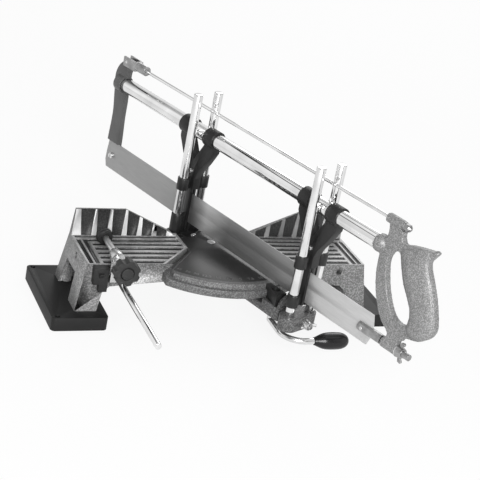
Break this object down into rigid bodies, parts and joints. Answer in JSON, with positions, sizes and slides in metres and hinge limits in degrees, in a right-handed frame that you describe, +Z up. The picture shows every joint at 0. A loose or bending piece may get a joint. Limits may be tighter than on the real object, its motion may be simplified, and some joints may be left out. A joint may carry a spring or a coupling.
{
  "type": "manual mitre saw",
  "caption": "Manual mitre saw: grooved twin-table bed with fence, swinging guide-post arm with lock lever, tensioned frame saw in sliding yokes, and a screw clamp on a bar.",
  "frame": {"origin": "centre of the four bench screw holes, on the bench plane under the feet", "axes": "+X right along the fence, +Y from the user to the back, +Z up"},
  "size_m": [0.468, 0.6153, 0.263],
  "materials": {
    "casting": "hammertone paint",
    "arm_casting": "hammertone paint",
    "foot": "satin, rounded edges",
    "chrome": "polished",
    "zinc": "plated",
    "screw": "zinc plated",
    "black": "moulded",
    "knob": "moulded",
    "grip": "moulded",
    "steel": "ground",
    "frame_arm": "dark paint",
    "handle": "hammertone paint"
  },
  "bodies": {
    "base": {"left_table": "casting", "right_table": "casting", "left_fence": "casting", "right_fence": "casting", "quadrant": "casting", "left_foot": "foot", "right_foot": "foot", "foot_screws": "screw", "pivot_bolt": "screw", "pivot_washer": "screw", "quadrant_plug": "screw", "stop_screw": "screw", "clamp_bar": "chrome", "bar_holder": "black", "bar_holder_screw": "screw"},
    "swing": {"swing_arm": "arm_casting", "rear_post_seat": "black", "seat_screw": "screw", "rear_post_left": "chrome", "rear_post_right": "chrome", "front_post_left": "chrome", "front_post_right": "chrome", "front_post_holder": "arm_casting", "holder_stud": "screw"},
    "holder_nut": {"holder_wing_nut": "zinc"},
    "lever": {"lever_rod": "chrome", "lever_grip": "grip"},
    "lock": {"lock_block": "black"},
    "front_yoke": {"front_guide": "black", "front_guide_screws": "screw"},
    "rear_yoke": {"rear_guide": "black", "rear_guide_screws": "screw"},
    "saw": {"saw_tube": "chrome", "rear_frame_arm": "frame_arm", "saw_handle": "handle", "tension_rod": "screw", "rod_clevis": "zinc", "rod_pin": "screw", "cap_nut": "zinc", "blade": "steel", "blade_screw": "screw", "blade_clevis": "zinc", "clevis_pin": "screw", "tension_stud": "screw", "stud_washer": "screw"},
    "tension_nut": {"tension_wing_nut": "zinc"},
    "clamp_carriage": {"clamp_bracket": "zinc", "bracket_nut": "zinc", "bracket_screw": "screw"},
    "clamp_foot": {"clamp_pad": "black"},
    "clamp_spindle": {"clamp_screw": "chrome", "clamp_knob": "knob", "knob_cap": "knob"}
  },
  "joints": [
    {"name": "mitre_swing", "type": "hinge", "parent": "base", "child": "swing", "pos_m": [0, 0.03, 0.06], "axis": [0, 0, 1], "range_deg": [-59, 26]},
    {"name": "post_nut_turn", "type": "hinge", "parent": "swing", "child": "holder_nut", "pos_m": [0.06477, -0.15504, 0.053], "axis": [0.3256, -0.9455, 0], "range_deg": [0, 720]},
    {"name": "lock_lever", "type": "hinge", "parent": "swing", "child": "lever", "pos_m": [0.03837, -0.10909, 0.035], "axis": [0, 0, 1], "range_deg": [-30, 15]},
    {"name": "lock_lift", "type": "slide", "parent": "swing", "child": "lock", "axis": [0, 0, 1], "range_m": [-0.000126, 0.000251]},
    {"name": "front_yoke_lift", "type": "slide", "parent": "swing", "child": "front_yoke", "axis": [0, 0, 1], "range_m": [0, 0.1]},
    {"name": "rear_yoke_lift", "type": "slide", "parent": "swing", "child": "rear_yoke", "axis": [0, 0, 1], "range_m": [0, 0.1]},
    {"name": "saw_stroke", "type": "slide", "parent": "front_yoke", "child": "saw", "axis": [0.3256, -0.9455, 0], "range_m": [-0.055, 0.125]},
    {"name": "tension_nut_turn", "type": "hinge", "parent": "saw", "child": "tension_nut", "pos_m": [0.11384, -0.3006, 0.0982], "axis": [0.3256, -0.9455, 0], "range_deg": [0, 720]},
    {"name": "clamp_slide", "type": "slide", "parent": "base", "child": "clamp_carriage", "axis": [0, -1, 0], "range_m": [0, 0.16]},
    {"name": "clamp_feed", "type": "slide", "parent": "clamp_carriage", "child": "clamp_foot", "axis": [0, 1, 0], "range_m": [-0.015, 0.021]},
    {"name": "clamp_turn", "type": "hinge", "parent": "clamp_foot", "child": "clamp_spindle", "pos_m": [-0.156, -0.06, 0.0915], "axis": [0, 1, 0], "range_deg": [-3601, 5041]}
  ],
  "couplings": [
    {"joint": "lock_lift", "follows": "lock_lever", "m_per_rad": -0.00047746},
    {"joint": "rear_yoke_lift", "follows": "front_yoke_lift", "ratio": 1},
    {"joint": "clamp_turn", "follows": "clamp_feed", "rad_per_m": 4188.8}
  ]
}
